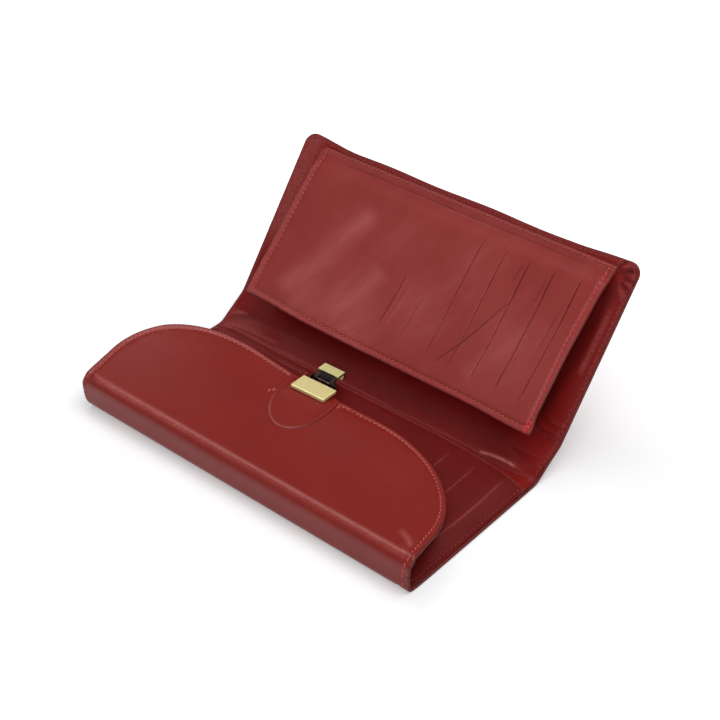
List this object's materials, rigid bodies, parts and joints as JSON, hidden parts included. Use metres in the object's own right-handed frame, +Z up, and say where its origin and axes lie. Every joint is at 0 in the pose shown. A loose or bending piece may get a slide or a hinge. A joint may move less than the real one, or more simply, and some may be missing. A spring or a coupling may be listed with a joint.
{
  "type": "long fold-over wallet",
  "caption": "Long leather fold-over wallet, shown open: base and lid with card slits, a hinged card leaf, and a front flap with a sprung clasp.",
  "frame": {"origin": "centre of the base's underside, the face that the wallet lies on", "axes": "+X along the folds, +Y back from the front edge to the spine, +Z up out of the surface that it lies on"},
  "size_m": [0.1958, 0.1568, 0.0813],
  "materials": {
    "cover_leather": "glazed red leather, smooth and glossy",
    "pocket_leather": "glazed red leather, thin and glossy",
    "lining_leather": "dark red lining leather, satin",
    "slit_lining": "dark skived leather behind the card slits, matt",
    "brass": "brushed brass with polished edges",
    "dark_steel": "darkened steel"
  },
  "bodies": {
    "base": {"cover_base": "cover_leather", "base_lining": "lining_leather", "base_card_tongue_1": "slit_lining", "base_card_tongue_2": "slit_lining", "base_card_tongue_3": "slit_lining", "base_pocket_panel": "pocket_leather", "base_left_pocket": "pocket_leather", "front_lower_crease": "cover_leather", "spine_lower_crease": "cover_leather"},
    "front_edge": {"cover_front_edge": "cover_leather", "front_edge_lining": "lining_leather", "front_upper_crease": "cover_leather"},
    "flap": {"cover_flap": "cover_leather", "flap_lining": "lining_leather", "clasp_tab": "cover_leather", "clasp_plate": "brass", "clasp_bracket": "dark_steel", "clasp_back_plate": "brass", "clasp_rivet_left": "dark_steel", "clasp_rivet_right": "dark_steel", "clasp_pin": "dark_steel", "clasp_spring": "dark_steel"},
    "hook": {"clasp_hook": "brass"},
    "spine": {"cover_spine": "cover_leather", "spine_lining": "lining_leather", "spine_upper_crease": "cover_leather"},
    "lid": {"cover_lid": "cover_leather", "lid_lining": "lining_leather", "leaf_hinge_strip": "pocket_leather", "keeper_plate": "brass", "keeper_rivet_left": "brass", "keeper_rivet_right": "brass"},
    "leaf": {"leaf_face": "pocket_leather", "leaf_back": "lining_leather", "leaf_crease": "pocket_leather", "leaf_card_tongue_1": "slit_lining", "leaf_card_tongue_2": "slit_lining", "leaf_card_tongue_3": "slit_lining", "leaf_card_tongue_4": "slit_lining", "leaf_card_tongue_5": "slit_lining"}
  },
  "joints": [
    {"name": "front_lower_fold", "type": "hinge", "parent": "base", "child": "front_edge", "pos_m": [0, -0.044, 0.0006], "axis": [1, 0, 0], "range_deg": [0, 86]},
    {"name": "front_upper_fold", "type": "hinge", "parent": "front_edge", "child": "flap", "pos_m": [0, -0.044, 0.0166], "axis": [1, 0, 0], "range_deg": [0, 86]},
    {"name": "clasp_hinge", "type": "hinge", "parent": "flap", "child": "hook", "pos_m": [-0.0153, 0.03041, 0.01084], "axis": [0.9906, 0.1124, -0.0785], "range_deg": [0, 20], "stiffness_Nm_per_rad": 0.002, "springref_deg": -20.05},
    {"name": "spine_lower_fold", "type": "hinge", "parent": "base", "child": "spine", "pos_m": [0, 0.044, 0.0006], "axis": [1, 0, 0], "range_deg": [-29, 28]},
    {"name": "spine_upper_fold", "type": "hinge", "parent": "spine", "child": "lid", "pos_m": [0, 0.0607, 0.01161], "axis": [1, 0, 0], "range_deg": [-17.6, 17]},
    {"name": "leaf_fold", "type": "hinge", "parent": "lid", "child": "leaf", "pos_m": [0, 0.1049, 0.07729], "axis": [-1, 0, 0], "range_deg": [-8, 110]}
  ],
  "couplings": [
    {"joint": "front_upper_fold", "follows": "front_lower_fold", "ratio": 1},
    {"joint": "spine_upper_fold", "follows": "spine_lower_fold", "ratio": 0.6048}
  ]
}
